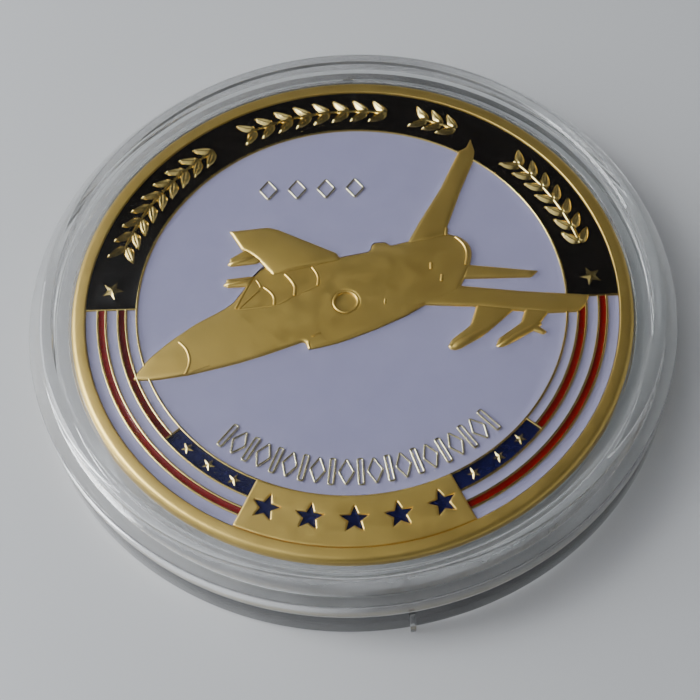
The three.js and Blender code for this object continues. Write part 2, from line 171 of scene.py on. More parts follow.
PODS = [  # nose, tail and radius
    ((6.75, -4.3), (9.4, -2.75), 0.42), ((10, -4.25), (13.3, -2.35), 0.3),
    ((-8.95, 3.3), (-6.9, 4.0), 0.3), ((-9.2, 1.55), (-7.2, 1.95), 0.27),
]
LINES = [  # path, width and how far it stands proud
    ([(-12.1, -3.1), (-11.55, -3.75), (-11.3, -4.6), (-11.4, -5.3), (-11.6, -5.75)], 0.25, 0.063),
    ([(-11.1, -5.45), (-10.55, -5.3), (-9.9, -5.05)], 0.19, 0.036),
    ([(-8.2, -0.5), (-7.8, 0.5), (-7.3, 1.6)], 0.23, 0.054),
    ([(-7.95, -0.5), (-7.2, 0.35), (-6.5, 1.1)], 0.19, 0.054),
    ([(-6.2, 1.3), (-5.7, 0.8), (-5.45, 0.3), (-5.45, -0.3)], 0.25, 0.072),
    ([(-4.7, 2.4), (-4.25, 1.8), (-3.98, 1.2), (-4.0, 0.45)], 0.27, 0.081),
    ([(-2.75, 2.9), (-2.45, 2.4), (-2.3, 1.9), (-2.35, 1.25)], 0.23, 0.063),
    ([(-6.75, 1.95), (-6.55, 1.6), (-6.45, 1.3)], 0.21, 0.054),
    ([(-8.0, -0.55), (-5.45, -0.3), (-4.0, 0.4), (-2.35, 1.2)], 0.15, 0.022),
    ([(-1.35, 3.6), (-2.6, 3.1), (-5.1, 2.6)], 0.19, 0.054),
    ([(7.7, 5.1), (8.25, 4.4), (8.45, 3.6), (8.3, 2.6)], 0.25, 0.072),
    ([(-2.75, -3.0), (-2.5, -2.8), (-2.15, -2.7)], 0.23, 0.054),
    ([(-3.0, -3.35), (-3.0, -3.65), (-2.9, -3.95)], 0.27, 0.054),
    ([(5.8, 2.3), (5.8, 2.55), (5.82, 2.85)], 0.25, 0.090),
    ([(6.5, 1.25), (6.52, 1.5), (6.56, 1.8)], 0.25, 0.090),
    ([(2.42, -0.5), (2.44, -0.3), (2.46, -0.1)], 0.21, 0.054),
    ([(7.0, 5.3), (7.0, 5.6), (7.05, 5.95)], 0.25, 0.036),
]


# ---------- Plane geometry ----------

def polar(r, angle):
    a = math.radians(angle)
    return (r * math.cos(a), r * math.sin(a))


def arc(r, a0, a1):
    """Points along an arc, both ends included."""
    steps = max(2, math.ceil(abs(a1 - a0) / 360 * TURN_STEPS))
    return [polar(r, a0 + (a1 - a0) * i / steps) for i in range(steps + 1)]


def circle(r, centre=(0, 0)):
    return [(centre[0] + x, centre[1] + y) for x, y in arc(r, 0, 360)[:-1]]


def slice_outline(r0, r1, a0, a1):
    """The outline of a slice of a ring, anticlockwise."""
    return arc(r1, a0, a1) + arc(r0, a1, a0)


def turned(points, angle, place):
    c, s = math.cos(math.radians(angle)), math.sin(math.radians(angle))
    return [(place[0] + c * x - s * y, place[1] + s * x + c * y) for x, y in points]


def mirrored(points):
    return [(-x, y) for x, y in reversed(points)]


def star(centre, r, heading, waist=0.42):
    """A five-pointed star. waist is the radius of its inner corners as a share of r."""
    corners = [polar(r * (waist if i % 2 else 1), heading + i * 36) for i in range(10)]
    return [(centre[0] + x, centre[1] + y) for x, y in corners]


def rounded(points, radius):
    """The outline with each corner replaced by a short curve."""
    made = []
    count = len(points)
    for i, p in enumerate(points):
        p = Vector(p)
        before = Vector(points[i - 1]) - p
        after = Vector(points[(i + 1) % count]) - p
        reach = min(radius, 0.4 * before.length, 0.4 * after.length)
        a = p + before.normalized() * reach
        b = p + after.normalized() * reach
        for t in (0, 0.25, 0.5, 0.75, 1):
            made.append(tuple(a * (1 - t) ** 2 + p * 2 * t * (1 - t) + b * t * t))
    return made


def dense(points, step):
    """The closed outline with long edges divided."""
    made = []
    for i, p in enumerate(points):
        q = points[(i + 1) % len(points)]
        length = math.dist(p, q)
        if length < 1e-6:
            continue
        parts = max(1, math.ceil(length / step))
        made += [(p[0] + (q[0] - p[0]) * k / parts, p[1] + (q[1] - p[1]) * k / parts)
                 for k in range(parts)]
    return made


def between(points, starts, ends):
    """Which points lie inside the closed outlines that some edges make up."""
    x, y = points[:, 0], points[:, 1]
    inside = np.zeros(len(points), bool)
    for (x0, y0), (x1, y1) in zip(starts, ends):
        if y0 != y1:
            inside ^= ((y0 > y) != (y1 > y)) & (x < (x1 - x0) * (y - y0) / (y1 - y0) + x0)
    return inside


def within(points, loop):
    """Which points lie inside a closed outline."""
    loop = np.array(loop)
    return between(points, loop, np.roll(loop, -1, 0))


def distance_to(points, starts, ends):
    """How far each point is from the nearest of some segments."""
    nearest = np.full(len(points), 1e9)
    along = ends - starts
    squared = np.maximum((along ** 2).sum(1), 1e-12)
    for first in range(0, len(points), 2000):
        p = points[first:first + 2000, None, :]
        t = np.clip(((p - starts) * along).sum(2) / squared, 0, 1)
        gap = p - starts - t[:, :, None] * along
        nearest[first:first + 2000] = np.sqrt((gap ** 2).sum(2).min(1))
    return nearest


def triangulate(points, edges):
    flat = [Vector(p) for p in points]
    co, _, faces, _, _, _ = delaunay_2d_cdt(flat, edges, [], 0, 1e-6)
    return np.array([tuple(v) for v in co]), np.array(faces)


class Region:
    """A flat region: what lies inside one outline and outside the others."""

    def __init__(self, keep, cuts=()):
        self.keep = dense(keep, EDGE_STEP)
        self.cuts = [dense(c, EDGE_STEP) for c in cuts]
        points, edges = [], []
        for loop in [self.keep, *self.cuts]:
            first = len(points)
            points += loop
            edges += [(first + i, first + (i + 1) % len(loop)) for i in range(len(loop))]
        self.points, faces = triangulate(points, edges)
        self.faces = faces[self.holds(self.points[faces].mean(1))]

    def holds(self, points):
        inside = within(points, self.keep)
        for loop in self.cuts:
            inside &= ~within(points, loop)
        return inside

    def parts(self):
        """The region's separate patches, each as a list of its faces."""
        group = {}

        def root(v):
            while group.setdefault(v, v) != v:
                v = group[v]
            return v

        for a, b, c in self.faces:
            group[root(int(b))] = root(int(a))
            group[root(int(c))] = root(int(a))
        found = {}
        for face in self.faces:
            found.setdefault(root(int(face[0])), []).append(face)
        return [np.array(faces) for faces in found.values()]


def border(faces):
    """The directed edges that only one face has."""
    edges = {(int(f[i]), int(f[(i + 1) % 3])) for f in faces for i in range(3)}
    return [e for e in edges if (e[1], e[0]) not in edges]


# ---------- Shells ----------

class Shells:
    """Closed shells gathered into one piece."""

    def __init__(self):
        self.points = []
        self.faces = []

    def add(self, points, faces):
        first = len(self.points)
        self.points += [tuple(p) for p in points]
        self.faces += [tuple(first + i for i in face) for face in faces]
        return self

    def piece(self, name, material, body, replaces=(), slot=None, sharp=32):
        mesh = bpy.data.meshes.new(name)
        mesh.from_pydata([(x * MM, y * MM, z * MM) for x, y, z in self.points], [], self.faces)
        mesh.validate()
        mesh.shade_smooth()
        mesh.set_sharp_from_angle(angle=math.radians(sharp))
        mesh.materials.append(material)
        made = bpy.data.objects.new(name, mesh)
        bpy.context.scene.collection.objects.link(made)
        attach(made, body)
        if replaces:
            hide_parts(*replaces)
        return made


def relief(shells, points, faces, floor, height, rings):
    """Raises a flat patch into a closed shell, with points in rings along its edge and a grid inside.

    height gives Z from the distance to the patch's edge and the place.
    """
    edge = border(faces)
    used = sorted({v for e in edge for v in e})
    number = {v: i for i, v in enumerate(used)}
    loop = points[used]
    edges = [(number[a], number[b]) for a, b in edge]
    starts = np.array([loop[a] for a, _ in edges])
    ends = np.array([loop[b] for _, b in edges])
    inward = (ends - starts) / np.linalg.norm(ends - starts, axis=1, keepdims=True)
    inward = inward @ np.array([[0, 1], [-1, 0]])
    follows = {a: i for i, (a, _) in enumerate(edges)}
    after = np.array([follows[b] for _, b in edges])
    bisector = inward + inward[after]
    shortest = 0.3  # keeps a ring's point near a very sharp corner
    bisector /= np.maximum(np.linalg.norm(bisector, axis=1, keepdims=True), shortest)
    added = []
    for k, d in enumerate(rings):
        p = ends + bisector * d if k % 2 else (starts + ends) / 2 + inward * d
        added.append(p[distance_to(p, starts, ends) > 0.9 * d])
    low_corner, high_corner = loop.min(0), loop.max(0)
    xs = np.arange(low_corner[0], high_corner[0], GRID_STEP)
    ys = np.arange(low_corner[1], high_corner[1], GRID_STEP * GRID_ROWS)
    gx, gy = np.meshgrid(xs, ys)
    gx = gx + GRID_STEP / 2 * (np.arange(len(ys)) % 2)[:, None]
    inner = np.stack([gx.ravel(), gy.ravel()], 1)
    clearance = rings[-1] + 0.4 * GRID_STEP
    added.append(inner[distance_to(inner, starts, ends) > clearance])
    added = np.concatenate(added)
    added = added[between(added, starts, ends)]
    co, tris = triangulate([tuple(p) for p in np.concatenate([loop, added])], edges)
    tris = tris[between(co[tris].mean(1), starts, ends)]
    d = distance_to(co, starts, ends)
    d[: len(loop)] = 0
    top = [(x, y, z) for (x, y), z in zip(co, height(d, co))]
    under = [(x, y, floor) for x, y in co]
    count = len(co)
    walls = [(a, count + a, count + b, b) for a, b in border(tris)]
    base = [tuple(count + int(v) for v in reversed(t)) for t in tris]
    shells.add(top + under, [tuple(int(v) for v in t) for t in tris] + walls + base)


def shoulder(top, drop, reach, fall=None):
    """A top whose edge rounds over. fall says how far each place lies below the crest."""
    def height(d, co):
        t = np.clip(d / reach, 0, 1)
        round_over = 1 - np.sqrt(np.maximum(0, 1 - (1 - t) ** 2))
        return top - drop * round_over - (fall(co) if fall else 0)
    return height


NOSE_LENGTH = 6  # the stretch at a long part's start that bends down


def bowed(start, end, bow, nose=0.0):
    """The fall of a long part that is gently round across its length, and bends down at its start."""
    def fall(co):
        p = np.asarray(co) - start
        along = np.array(end) - start
        along = along / np.linalg.norm(along)
        u = p @ along
        v = p @ np.array([-along[1], along[0]])
        return bow * v ** 2 + nose * np.clip(NOSE_LENGTH - u, 0, NOSE_LENGTH) ** 2
    return fall


def meniscus(level, rise, reach):
    """Enamel that climbs a little where it meets metal, and is a little uneven elsewhere."""
    ripple = 0.006

    def height(d, co):
        wave = ripple * np.sin(co[:, 0] * 0.9 + 1.3) * np.cos(co[:, 1] * 0.8)
        return level + rise * np.exp(-(d / reach) ** 2 * 1.6) + wave * np.clip(d, 0, 1)
    return height


def plate(shells, outline, floor, height, rings, cuts=()):
    region = Region(outline, cuts)
    for faces in region.parts():
        relief(shells, region.points, faces, floor, height, rings)


def ridge(shells, path, width, floor, top, closed=False):
    """A round-topped wall swept along a path. floor and top are heights, or one for each point."""
    path = np.array(path, float)
    floors, tops = np.broadcast_to(floor, len(path)), np.broadcast_to(top, len(path))
    count = len(path)
    if closed:
        along = np.roll(path, -1, 0) - np.roll(path, 1, 0)
    else:
        along = np.gradient(path, axis=0)
    along /= np.linalg.norm(along, axis=1, keepdims=True)
    side = along @ np.array([[0, 1], [-1, 0]])
    points, faces = [], []
    size = CAP_STEPS + 3
    crown = width * 0.4  # the height of the rounded part
    for i, (p, s) in enumerate(zip(path, side)):
        cap = tops[i] - crown
        section = [(-0.5, floors[i])]
        for k in range(CAP_STEPS + 1):
            a = math.pi * (1 - k / CAP_STEPS)
            section.append((0.5 * math.cos(a), cap + crown * math.sin(a)))
        section.append((0.5, floors[i]))
        for u, h in section:
            x, y = p + s * u * width
            points.append((x, y, h))
    for i in range(count if closed else count - 1):
        a, b = i * size, (i + 1) % count * size
        for k in range(size):
            j = (k + 1) % size
            faces.append((a + k, b + k, b + j, a + j))
    if not closed:
        faces.append(tuple(range(size)))
        last = (count - 1) * size
        faces.append(tuple(last + k for k in reversed(range(size))))
    shells.add(points, faces)


def cone_star(shells, outline, centre, floor, edge, peak):
    """A star with a raised middle and a crease to each point and corner."""
    count = len(outline)
    points = [(x, y, floor) for x, y in outline] + [(x, y, edge) for x, y in outline]
    points += [(*centre, peak), (*centre, floor)]
    faces = []
    for i in range(count):
        j = (i + 1) % count
        faces += [(i, j, count + j, count + i), (count + i, count + j, 2 * count),
                  (j, i, 2 * count + 1)]
    shells.add(points, faces)


def leaf_half_width(u):
    return LEAF_WIDTH / 2 * math.sin(math.pi * min(1, u ** 0.75 * 0.96 + 0.04)) ** 0.8


def leaf(shells, start, heading, floor, top, length=LEAF_LENGTH, scale=1.0):
    """A domed leaf with a sunk midrib."""
    half_columns = [0.08, 0.3, 0.6, 0.86, 1]
    columns = [-v for v in reversed(half_columns)] + [0] + half_columns
    rows = [i / LEAF_ROWS for i in range(LEAF_ROWS + 1)]
    rib_depth, rib_width = 0.22, 0.12  # shares of the leaf's rise and of its half width
    points, faces = [], []
    width = len(columns)
    edge = floor + (top - floor) * 0.45
    for u in rows:
        half = max(leaf_half_width(u) * scale, 0.01)
        for v in columns:
            dome = (1 - abs(v) ** 2.4) * min(1, 5 * (1 - u) + 0.2) * min(1, 5 * u + 0.3)
            rib = rib_depth * math.exp(-(v / rib_width) ** 2) * math.sin(math.pi * u)
            z = edge + (top - edge) * (dome - rib)
            points.append((*turned([(u * length, v * half)], heading, start)[0], z))
    for i in range(len(rows) - 1):
        for k in range(width - 1):
            a = i * width + k
            faces.append((a, a + width, a + width + 1, a + 1))
    outer = list(range(width))
    outer += [i * width + width - 1 for i in range(1, len(rows))]
    outer += [(len(rows) - 1) * width + k for k in reversed(range(width - 1))]
    outer += [i * width for i in reversed(range(1, len(rows) - 1))]
    first = len(points)
    points += [(points[v][0], points[v][1], floor) for v in outer]
    for i, v in enumerate(outer):
        j = (i + 1) % len(outer)
        faces.append((v, outer[j], first + j, first + i))
    faces.append(tuple(first + i for i in range(len(outer))))
    shells.add(points, faces)


def filleted(corners):
    """Corners of radius, height and fillet, as a smooth profile."""
    made = []
    for i, (r, z, fillet) in enumerate(corners):
        p = Vector((r, z))
        if fillet == 0 or i in (0, len(corners) - 1):
            made.append((r, z))
            continue
        a = Vector(corners[i - 1][:2]) - p
        b = Vector(corners[i + 1][:2]) - p
        half = a.angle(b) / 2
        reach = min(fillet / math.tan(half), 0.49 * a.length, 0.49 * b.length)
        radius = reach * math.tan(half)
        centre = p + (a.normalized() + b.normalized()).normalized() * (radius / math.sin(half))
        start = p + a.normalized() * reach - centre
        end = p + b.normalized() * reach - centre
        sweep = start.angle_signed(end)
        for k in range(FILLET_STEPS + 1):
            turn = Matrix.Rotation(-sweep * k / FILLET_STEPS, 2)
            made.append(tuple(centre + turn @ start))
    return made


def turning(shells, corners):
    """A profile that starts and ends on the axis, turned about Z. It runs anticlockwise."""
    profile = filleted(corners)
    points, faces = [], []
    rows = len(profile)
    for i in range(TURN_STEPS):
        angle = 360 * i / TURN_STEPS
        for r, z in profile[1:-1]:
            points.append((*polar(r, angle), z))
    inner = rows - 2
    points += [(0, 0, profile[0][1]), (0, 0, profile[-1][1])]
    first_pole, last_pole = len(points) - 2, len(points) - 1
    for i in range(TURN_STEPS):
        a, b = i * inner, (i + 1) % TURN_STEPS * inner
        faces += [(a + k, b + k, b + k + 1, a + k + 1) for k in range(inner - 1)]
        faces.append((first_pole, b, a))
        faces.append((a + inner - 1, b + inner - 1, last_pole))
    shells.add(points, faces)
    return shells


# ---------- Materials ----------

class Nodes:
    """Short ways to add and join the nodes of a tree."""

    def __init__(self, tree, place):
        self.tree = tree
        self.place = self.add("ShaderNodeTexCoord").outputs[place]

    def add(self, kind, **values):
        node = self.tree.nodes.new(kind)
        for key, value in values.items():
            if hasattr(node, key):
                setattr(node, key, value)
            else:
                node.inputs[key.replace("_", " ")].default_value = value
        return node

    def link(self, source, target):
        self.tree.links.new(source, target)

    def maths(self, kind, operation, *values):
        """The outputs of a maths node on some sockets or fixed values."""
        node = self.add(kind, operation=operation)
        for socket, value in zip(node.inputs, values):
            if isinstance(value, bpy.types.NodeSocket):
                self.link(value, socket)
            else:
                socket.default_value = value
        return node.outputs

    def scalar(self, operation, *values):
        return self.maths("ShaderNodeMath", operation, *values)["Value"]

    def vector(self, operation, *values):
        return self.maths("ShaderNodeVectorMath", operation, *values)

    def noise(self, scale, detail=3.0, roughness=0.5, stretch=None):
        node = self.add("ShaderNodeTexNoise", Scale=scale, Detail=detail, Roughness=roughness)
        place = self.place
        if stretch:
            mapping = self.add("ShaderNodeMapping")
            mapping.inputs["Scale"].default_value = stretch
            self.link(place, mapping.inputs["Vector"])
            place = mapping.outputs["Vector"]
        self.link(place, node.inputs["Vector"])
        return node.outputs["Fac"]

    def ramp(self, source, stops):
        node = self.add("ShaderNodeValToRGB")
        ramp = node.color_ramp
        while len(ramp.elements) < len(stops):
            ramp.elements.new(0.5)
        for element, (at, colour) in zip(ramp.elements, stops):
            element.position = at
            element.color = (*colour, 1)
        self.link(source, node.inputs["Fac"])
        return node.outputs["Color"]

    def spread(self, source, low_value, high_value, start=0.0, end=1.0):
        node = self.add("ShaderNodeMapRange")
        node.inputs["From Min"].default_value = start
        node.inputs["From Max"].default_value = end
        node.inputs["To Min"].default_value = low_value
        node.inputs["To Max"].default_value = high_value
        self.link(source, node.inputs["Value"])
        return node.outputs["Result"]


class Surface(Nodes):
    """A new material."""

    def __init__(self, name):
        self.material = bpy.data.materials.new(name)
        self.material.use_nodes = True
        super().__init__(self.material.node_tree, "Object")
        self.shader = self.tree.nodes["Principled BSDF"]

    def set(self, **values):
        for key, value in values.items():
            self.shader.inputs[key.replace("_", " ")].default_value = value

    def feed(self, name, source):
        self.link(source, self.shader.inputs[name])

    def bump(self, layers):
        """Bump from several layers of (height, strength, distance)."""
        normal = None
        for height, strength, distance in layers:
            node = self.add("ShaderNodeBump", Strength=strength, Distance=distance)
            self.link(height, node.inputs["Height"])
            if normal:
                self.link(normal, node.inputs["Normal"])
            normal = node.outputs["Normal"]
        self.feed("Normal", normal)


def gold(name, roughness, tint=(0.84, 0.6, 0.17), grain=0.12):
    """Gold plating: satin grain, a slow change of tint and fine polishing lines."""
    n = Surface(name)
    n.set(Metallic=1.0)
    dark = tuple(c * k for c, k in zip(tint, (0.93, 0.91, 0.85)))
    n.feed("Base Color", n.ramp(n.noise(260, 2, 0.4), [(0.3, dark), (0.7, tint)]))
    worn = n.noise(900, 2, 0.4)
    n.feed("Roughness", n.spread(worn, roughness * 0.93, roughness * 1.07, 0.3, 0.7))
    fine = n.noise(9000, 2)
    lines = n.noise(2500, 2, stretch=(0.15, 3, 1))
    depth = 0.008 * MM
    n.bump([(fine, grain, depth), (lines, grain * 0.5, depth)])
    return n.material


def enamel(name, colour, shade, roughness=0.1):
    """Cured enamel: a faint mottle, soft orange peel and a gloss that varies."""
    n = Surface(name)
    n.feed("Base Color", n.ramp(n.noise(500, 4, 0.6), [(0.35, shade), (0.65, colour)]))
    gloss = n.noise(1500, 2)
    n.feed("Roughness", n.spread(gloss, roughness * 0.8, roughness * 1.3, 0.3, 0.7))
    n.set(IOR=1.5)
    peel, fine = n.noise(900, 2), n.noise(6000, 2)
    n.bump([(peel, 0.06, 0.02 * MM), (fine, 0.06, 0.005 * MM)])
    return n.material


def acrylic(name, haze=0.03):
    """Clear cast acrylic: hairline scuffs, and a worn haze on the walls outside the window.

    Shadow rays pass straight through it, dimmed more in the walls than in the window.
    """
    n = Surface(name)
    n.set(IOR=1.49, Base_Color=(0.9, 0.91, 0.91, 1))
    scuffs = n.noise(700, 3, stretch=(0.2, 4, 1))
    n.feed("Roughness", n.spread(scuffs, haze, haze + 0.06, 0.5, 0.8))
    flat = n.vector("MULTIPLY", n.place, (1, 1, 0))["Vector"]
    radius = n.vector("LENGTH", flat)["Value"]
    wall_wear_and_shadow = n.spread(radius, 0, 1, 20.3 * MM, 21.3 * MM)
    patchy = n.spread(n.noise(300, 5, 0.7), 0.03, 0.07, 0.3, 0.7)
    cloud = n.scalar("MULTIPLY", wall_wear_and_shadow, patchy)
    n.feed("Transmission Weight", n.spread(cloud, 1, 0))
    # In the walls shadow rays keep only 0.55 of the light: a painted shadow, darker under the walls than
    # under the window.
    window_tint, wall_shadow_tint = (0.96, 0.97, 0.97), (0.55, 0.54, 0.55)
    clear = n.add("ShaderNodeBsdfTransparent")
    n.link(n.ramp(wall_wear_and_shadow, [(0.0, window_tint), (1.0, wall_shadow_tint)]), clear.inputs["Color"])
    mix = n.add("ShaderNodeMixShader")
    n.link(n.add("ShaderNodeLightPath").outputs["Is Shadow Ray"], mix.inputs[0])
    n.link(n.shader.outputs[0], mix.inputs[1])
    n.link(clear.outputs[0], mix.inputs[2])
    n.link(mix.outputs[0], n.tree.nodes["Material Output"].inputs["Surface"])
    return n.material


GOLD_SATIN = gold("gold_satin", 0.36)
GOLD_BRIGHT = gold("gold_bright", 0.15, (0.95, 0.74, 0.28), grain=0.05)
GOLD_PALE = gold("gold_pale", 0.16, (0.95, 0.88, 0.6), 0.05)
# Painted light: the white enamel's blue-violet cast and dim grey stand in for the bluish light falling on it.
WHITE = enamel("white_enamel", (0.27, 0.258, 0.385), (0.257, 0.245, 0.368))
BLACK = enamel("black_enamel", (0.006, 0.0045, 0.004), (0.003, 0.0025, 0.002))
RED = enamel("red_enamel", (0.15, 0.003, 0.002), (0.115, 0.002, 0.0015))
BLUE = enamel("blue_enamel", (0.006, 0.006, 0.04), (0.004, 0.004, 0.028))
ACRYLIC_LID = acrylic("acrylic_lid")
ACRYLIC_BASE = acrylic("acrylic_base", 0.05)


# ---------- Coin: the struck metal ----------

def coin_blank():
    back_floor = COIN_FOOT + BACK_DEPTH
    edge_round = 0.42
    corners = [
        (0, back_floor, 0), (18.7, back_floor, 0.06), (18.8, COIN_FOOT, 0.1),
        (COIN_R, COIN_FOOT, edge_round), (COIN_R, COIN_TOP, edge_round),
        (RIM_INNER_R + 0.08, COIN_TOP, 0.07), (RIM_INNER_R, CELL_FLOOR, 0), (0, CELL_FLOOR, 0),
    ]
    return turning(Shells(), corners).piece("coin_blank", GOLD_SATIN, "coin", ["coin_body"],
                                            "struck_gold", sharp=50)


def end_angle(r):
    """Where a stripe's wall of that radius meets the band's straight end."""
    return math.degrees(math.asin(BAND_END_Y / r))


def both_sides(path):
    return [path, [(-x, y) for x, y in path]]


def cell_walls():
    made = Shells()
    ridge(made, circle(FIELD_R), WALL, RELIEF_FLOOR, WALL_TOP, closed=True)
    *long_walls, short_wall = STRIPE_WALLS
    paths = [arc(r, PANEL_ANGLES[1] + 0.1, end_angle(r)) for r in long_walls]
    paths += [arc(short_wall, CANTON_EDGE, end_angle(short_wall))]
    paths += [[polar(FIELD_R, CANTON_EDGE), polar(STRIPE_WALLS[2], CANTON_EDGE)]]
    paths += [[(FIELD_R, BAND_END_Y), (RIM_INNER_R + 0.05, BAND_END_Y)]]
    for path in paths:
        for side in both_sides(path):
            ridge(made, side, WALL, RELIEF_FLOOR, WALL_TOP)
    return made.piece("cell_walls", GOLD_BRIGHT, "coin", (), "struck_gold", sharp=60)


def panel_star(i):
    angle = -90 + (i - 2) * PANEL_STAR_PITCH
    return star(polar(PANEL_STAR_ORBIT, angle), PANEL_STAR_R, angle + 180)


def bottom_panel():
    made = Shells()
    outline = slice_outline(FIELD_R - 0.05, RIM_INNER_R + 0.03, *PANEL_ANGLES)
    stars = [panel_star(i) for i in range(5)]
    top = shoulder(PANEL_TOP, 0.07, 0.1)
    plate(made, outline, RELIEF_FLOOR, top, [0.03, 0.065, 0.1, 0.14, 0.2], stars)
    return made.piece("bottom_panel", GOLD_SATIN, "coin", (), "struck_gold", sharp=50)


FUSELAGE_ROUND = 0.5
FUSELAGE_FALL = bowed(FUSELAGE[0], (8.6, 2.9), 0.0095, 0.0035)


def aircraft():
    made = Shells()
    cx, cy, r = ROUNDEL
    edge = [0.04, 0.09, 0.15, 0.22, 0.3, 0.4]
    top = shoulder(AIRFRAME_TOP, 0.16, 0.28, FUSELAGE_FALL)
    plate(made, rounded(FUSELAGE, FUSELAGE_ROUND), RELIEF_FLOOR, top, edge, [circle(r, (cx, cy))])
    dish = shoulder(AIRFRAME_TOP - 0.15, -0.05, 0.5)
    plate(made, circle(r + 0.03, (cx, cy)), RELIEF_FLOOR, dish, [0.1, 0.2, 0.3, 0.4, 0.5, 0.6])
    for outline, start, end in WINGS:
        top = shoulder(AIRFRAME_TOP - 0.05, 0.13, 0.24, bowed(start, end, 0.025))
        plate(made, rounded(outline, 0.12), RELIEF_FLOOR, top, edge)
    for outline in STORES:
        plate(made, rounded(outline, 0.16), RELIEF_FLOOR, shoulder(AIRFRAME_TOP - 0.08, 0.1, 0.2), edge)
    for start, end, r in PODS:
        pod(made, start, end, r)
    belly = shoulder(AIRFRAME_TOP - 0.02, 0.05, 0.14, bowed((-2.6, -2.4), (3.4, -0.4), 0.03))
    plate(made, rounded(BELLY, 0.3), RELIEF_FLOOR, belly, edge)
    return made.piece("aircraft", GOLD_SATIN, "coin", (), "struck_gold", sharp=40)


def pod(shells, start, end, r):
    """A round-nosed tube that lies half sunk in the face."""
    start, end = Vector(start), Vector(end)
    along = end - start
    rows = [(0, 0.02), (0.04, 0.45), (0.12, 0.8), (0.25, 1), (0.8, 1), (0.93, 0.85), (1, 0.6)]
    columns = 12
    base = ENAMEL_TOP - 0.08
    points, faces = [], []
    side = Vector((-along.y, along.x)).normalized()
    for u, k in rows:
        for i in range(columns):
            a = 2 * math.pi * i / columns
            q = start + along * u + side * (r * k * math.cos(a))
            points.append((q.x, q.y, base + (AIRFRAME_TOP - base) * k * math.sin(a)))
    for i in range(len(rows) - 1):
        row, following = i * columns, (i + 1) * columns
        for k in range(columns):
            j = (k + 1) % columns
            faces.append((row + k, row + j, following + j, following + k))
    last = (len(rows) - 1) * columns
    faces.append(tuple(reversed(range(columns))))
    faces.append(tuple(last + k for k in range(columns)))
    shells.add(points, faces)


def smooth_path(corners, step=0.12):
    """A curve through a few corners."""
    p = [Vector(c) for c in corners]
    p = [p[0] * 2 - p[1], *p, p[-1] * 2 - p[-2]]
    made = []
    for i in range(1, len(p) - 2):
        parts = max(2, math.ceil((p[i + 1] - p[i]).length / step))
        for k in range(parts):
            t = k / parts
            made.append(tuple(0.5 * (2 * p[i] + (p[i + 1] - p[i - 1]) * t
                                     + (2 * p[i - 1] - 5 * p[i] + 4 * p[i + 1] - p[i + 2]) * t * t
                                     + (3 * p[i] - p[i - 1] - 3 * p[i + 1] + p[i + 2]) * t ** 3)))
    return made + [tuple(p[-2])]


def aircraft_lines():
    made = Shells()
    for corners, width, proud in LINES:
        path = smooth_path(corners)
        level = AIRFRAME_TOP - FUSELAGE_FALL(path)
        ridge(made, path, width, level - 0.12, level + proud)
    cx, cy, r = ROUNDEL
    rim = circle(r + 0.03, (cx, cy))
    level = AIRFRAME_TOP - FUSELAGE_FALL(rim)
    ridge(made, rim, 0.22, level - 0.15, level + 0.04, closed=True)
    return made.piece("aircraft_lines", GOLD_SATIN, "coin", (), "struck_gold", sharp=60)


def sprig_leaves(root, tip):
    """Where each leaf of a sprig starts, and its heading."""
    pairs = math.ceil((tip - root) / LEAF_PITCH)
    pitch = (tip - root) / pairs
    angles = [root + i * pitch for i in range(pairs)]
    return [(polar(SPRIG_ORBIT, a), a + 90 + side * LEAF_SPLAY) for a in angles for side in (-1, 1)]


def sprig_stem(root, tip):
    pitch = (tip - root) / math.ceil((tip - root) / LEAF_PITCH)
    return arc(SPRIG_ORBIT, root, tip - pitch / 2)


def band_star(angle):
    return star(polar(SPRIG_ORBIT, angle), BAND_STAR_R, angle + 180)


def canton_star(angle):
    return star(polar(CANTON_ORBIT, angle), CANTON_STAR_R, angle + 180)


def ornaments():
    made = Shells()
    for root, tip in SPRIGS:
        ridge(made, sprig_stem(root, tip), 0.24, RELIEF_FLOOR, ORNAMENT_TOP - 0.05)
        for start, heading in sprig_leaves(root, tip):
            leaf(made, start, heading, RELIEF_FLOOR, ORNAMENT_TOP)
    star_edge = ENAMEL_TOP + 0.06
    for a in BAND_STARS:
        cone_star(made, band_star(a), polar(SPRIG_ORBIT, a), RELIEF_FLOOR, star_edge, star_edge + 0.1)
    for a in CANTON_STARS:
        outline = canton_star(a)
        cx, cy = polar(CANTON_ORBIT, a)
        cone_star(made, outline, (cx, cy), RELIEF_FLOOR, star_edge, star_edge + 0.07)
        cone_star(made, mirrored(outline), (-cx, cy), RELIEF_FLOOR, star_edge, star_edge + 0.07)
    return made.piece("band_ornaments", GOLD_BRIGHT, "coin", (), "struck_gold", sharp=25)


def bead_outlines():
    """The bead-and-reel row and the row of lozenges in the white field."""
    made = []
    for i in range(BEADS_COUNT):
        angle = BEADS_ANGLES[0] + (i + 0.5) * (BEADS_ANGLES[1] - BEADS_ANGLES[0]) / BEADS_COUNT
        half = BEAD_WIDTH / 2 if i % 2 else REEL_WIDTH / 2
        tall = BEAD_HEIGHT / 2
        if i % 2:
            corners = [(half, 0), (0, tall), (-half, 0), (0, -tall)]
        else:
            corners = [(-half, -tall), (half, -tall), (half, tall), (-half, tall)]
        made.append(turned(corners, angle - 90, polar(BEADS_ORBIT, angle)))
    middle, pitch, half, tall = (-2.8, 9.9), 2.15, 0.65, 0.85
    for i in range(4):
        x, y = middle[0] + (i - 1.5) * pitch, middle[1]
        made.append([(x + half, y), (x, y + tall), (x - half, y), (x, y - tall)])
    return made


